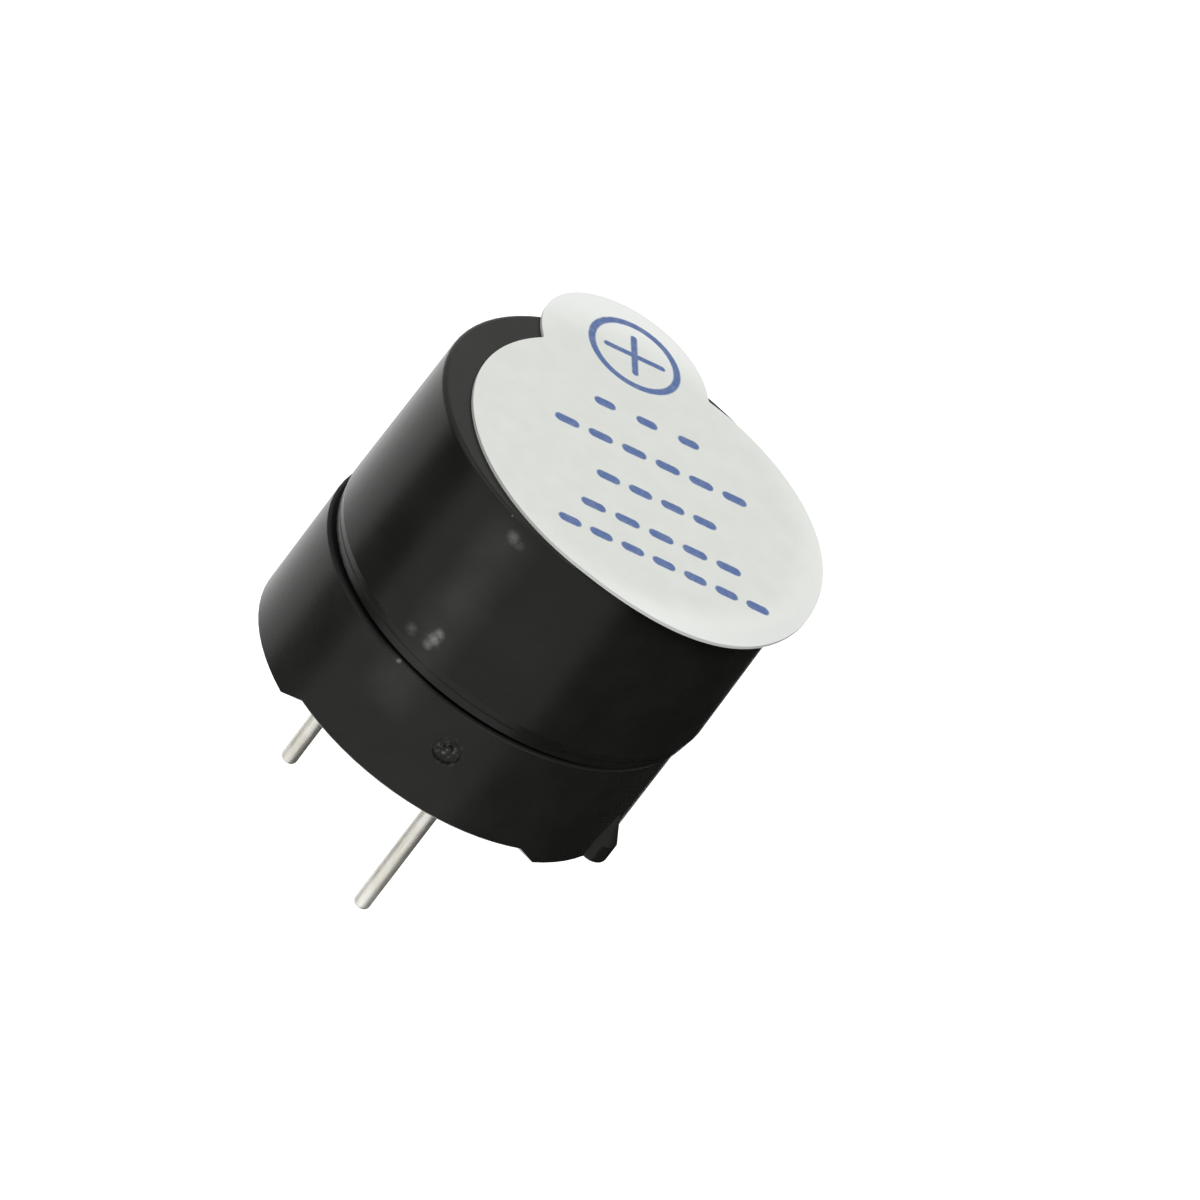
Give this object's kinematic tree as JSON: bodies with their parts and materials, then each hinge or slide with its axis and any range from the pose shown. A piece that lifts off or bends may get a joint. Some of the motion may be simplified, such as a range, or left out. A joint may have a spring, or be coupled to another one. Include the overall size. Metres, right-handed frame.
{
  "type": "through-hole buzzer",
  "caption": "Round black board-mount buzzer with a white peel-off seal over its sound port and a longer positive pin.",
  "frame": {"origin": "midway between the two pins, on the seat plane under the feet", "axes": "+Z the way the sound leaves, through the cover's top; +X from the positive pin towards the negative one"},
  "size_m": [0.0137, 0.0124, 0.0163],
  "materials": {
    "cover_plastic": "fine satin, near black",
    "base_plastic": "matt, near black",
    "label_paper": "white coated paper with blue print",
    "diaphragm_steel": "thin rolled strip",
    "soft_iron": "plated",
    "ferrite": "ground, dull",
    "bobbin_plastic": "natural nylon",
    "drive_wire": "enamelled copper",
    "feedback_wire": "enamelled copper",
    "board_laminate": "bare laminate",
    "track_copper": "etched copper",
    "chip_plastic": "moulded",
    "chip_ceramic": "glazed film on ceramic",
    "tinned_metal": "tinned",
    "pin_metal": "tinned, satin",
    "solder": "satin",
    "potting_resin": "cast black resin"
  },
  "bodies": {
    "root": {"cover": "cover_plastic", "base": "base_plastic", "seal_label": "label_paper", "diaphragm": "diaphragm_steel", "armature_disc": "soft_iron", "ring_magnet": "ferrite", "yoke_plate": "soft_iron", "iron_core": "soft_iron", "coil_bobbin": "bobbin_plastic", "drive_coil": "drive_wire", "feedback_coil": "feedback_wire", "drive_lead": "drive_wire", "feedback_lead": "feedback_wire", "common_lead": "feedback_wire", "circuit_board": "board_laminate", "copper_tracks": "track_copper", "transistor_body": "chip_plastic", "transistor_legs": "tinned_metal", "resistor_body": "chip_ceramic", "resistor_caps": "tinned_metal", "positive_pin": "pin_metal", "negative_pin": "pin_metal", "pin_solder": "solder", "lead_solder": "solder", "part_solder": "solder", "potting": "potting_resin"}
  },
  "joints": []
}
